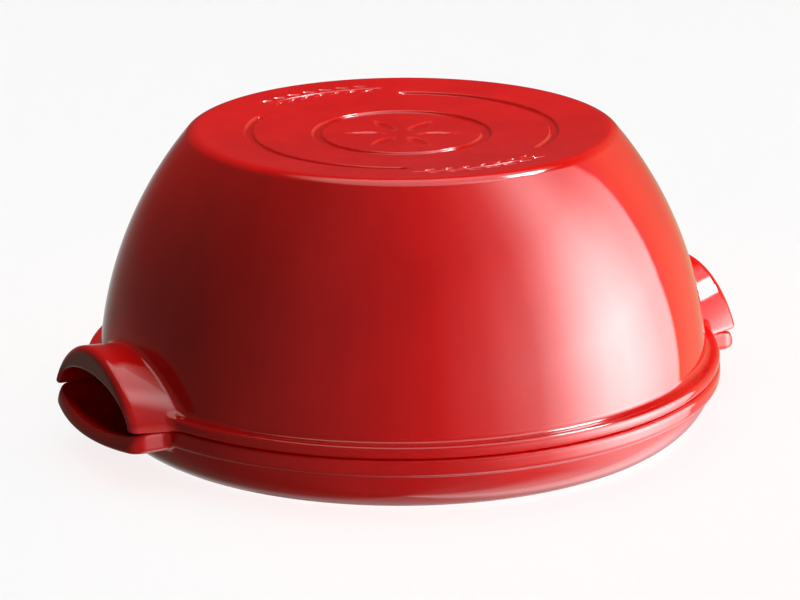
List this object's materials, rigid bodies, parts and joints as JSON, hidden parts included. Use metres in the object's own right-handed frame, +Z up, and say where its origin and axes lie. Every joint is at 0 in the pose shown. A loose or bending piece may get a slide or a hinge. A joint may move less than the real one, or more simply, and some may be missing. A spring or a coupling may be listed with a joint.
{
  "type": "bread cloche",
  "caption": "Round glazed stoneware baking dish with a high domed lid; lid arches and base lips pair up as side handles.",
  "frame": {"origin": "centre of the foot ring on the resting plane, on the rotation axis", "axes": "+Z up along the rotation axis, +X through the two handles, +Y across them"},
  "size_m": [0.3276, 0.2956, 0.1385],
  "materials": {
    "base_glaze": "high gloss red glaze",
    "lid_glaze": "high gloss red glaze"
  },
  "bodies": {
    "base": {"base_dish": "base_glaze"},
    "lid": {"lid_dome": "lid_glaze"}
  },
  "joints": [
    {"name": "lid_lift", "type": "slide", "parent": "base", "child": "lid", "axis": [0, 0, 1], "range_m": [0, 0.15]}
  ]
}
